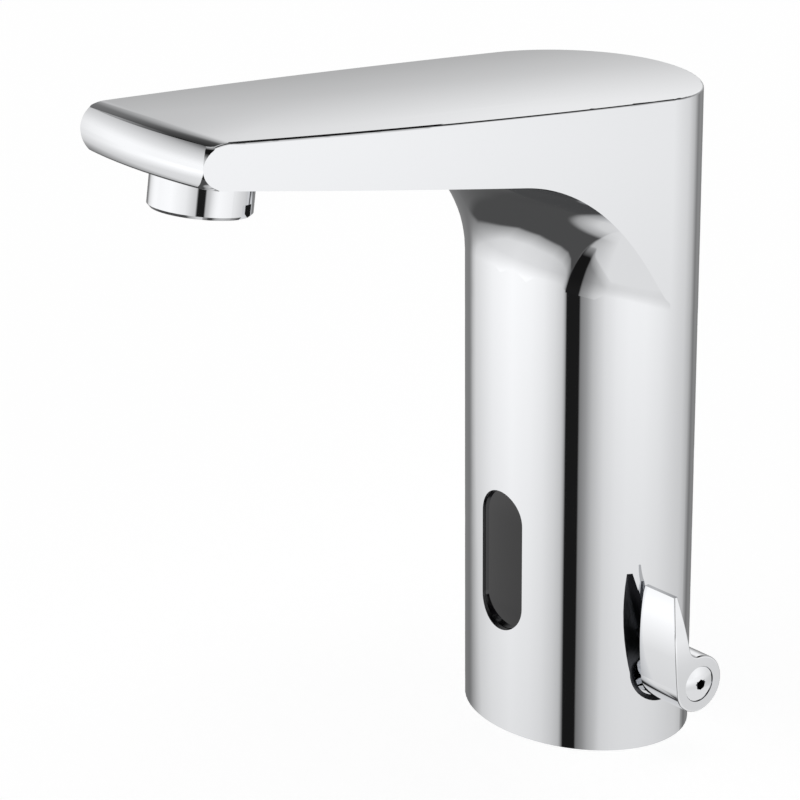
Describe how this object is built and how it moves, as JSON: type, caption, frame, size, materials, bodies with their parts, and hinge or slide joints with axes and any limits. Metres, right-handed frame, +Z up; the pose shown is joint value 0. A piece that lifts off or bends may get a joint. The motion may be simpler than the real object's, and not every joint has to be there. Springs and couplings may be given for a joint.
{
  "type": "sensor tap",
  "caption": "Deck-mounted chrome sensor tap: oval column flaring into a flat rising spout, dark sensor window in front, side lever for mixing hot and cold.",
  "frame": {"origin": "on the deck plane, at the column's upright axis", "axes": "+Z up, spout towards -Y, mixing lever at +X"},
  "size_m": [0.0827, 0.1658, 0.186],
  "materials": {
    "chrome": "polished",
    "brass": "machined",
    "steel": "brushed",
    "rubber": "matte",
    "ceramic": "lapped",
    "black_plastic": "moulded",
    "white_plastic": "moulded",
    "window_plastic": "smoked, glossy",
    "board": "lacquered"
  },
  "bodies": {
    "tap": {"aerator_collar": "chrome", "aerator_core": "white_plastic", "aerator_screen": "steel", "aerator_washer": "rubber", "base_plate": "brass", "base_screws": "steel", "base_seal": "rubber", "battery_pack": "black_plastic", "battery_tray": "black_plastic", "body_casting": "chrome", "coil_nut": "steel", "diaphragm": "rubber", "fixed_disc": "ceramic", "infrared_emitter": "window_plastic", "infrared_receiver": "window_plastic", "inlet_seals": "rubber", "inlet_strainers": "steel", "mixing_valve_body": "brass", "plunger_spring": "steel", "riser_seals": "rubber", "riser_tube": "brass", "sensor_board": "board", "sensor_housing": "black_plastic", "sensor_screws": "steel", "sensor_window": "window_plastic", "solenoid_body": "black_plastic", "solenoid_coil": "black_plastic", "solenoid_guide": "black_plastic", "solenoid_screws": "steel", "solenoid_seal": "rubber", "spindle_bush": "chrome", "tray_screws": "steel", "valve_cap": "brass", "valve_screws": "steel", "window_gasket": "rubber"},
    "lever": {"mixing_lever": "chrome", "lever_screw": "chrome", "lever_shaft": "brass", "shaft_seal": "rubber", "mixing_spindle": "brass", "moving_disc": "ceramic"},
    "plunger": {"plunger": "steel", "plunger_pad": "rubber"}
  },
  "joints": [
    {"name": "lever_turn", "type": "hinge", "parent": "tap", "child": "lever", "pos_m": [0, 0, 0.022], "axis": [1, 0, 0], "range_deg": [-45, 45]},
    {"name": "plunger_lift", "type": "slide", "parent": "tap", "child": "plunger", "axis": [0, 0, 1], "range_m": [0, 0.0015], "stiffness_N_per_m": 300, "springref_m": -0.004, "deforming": ["plunger_spring"]}
  ]
}
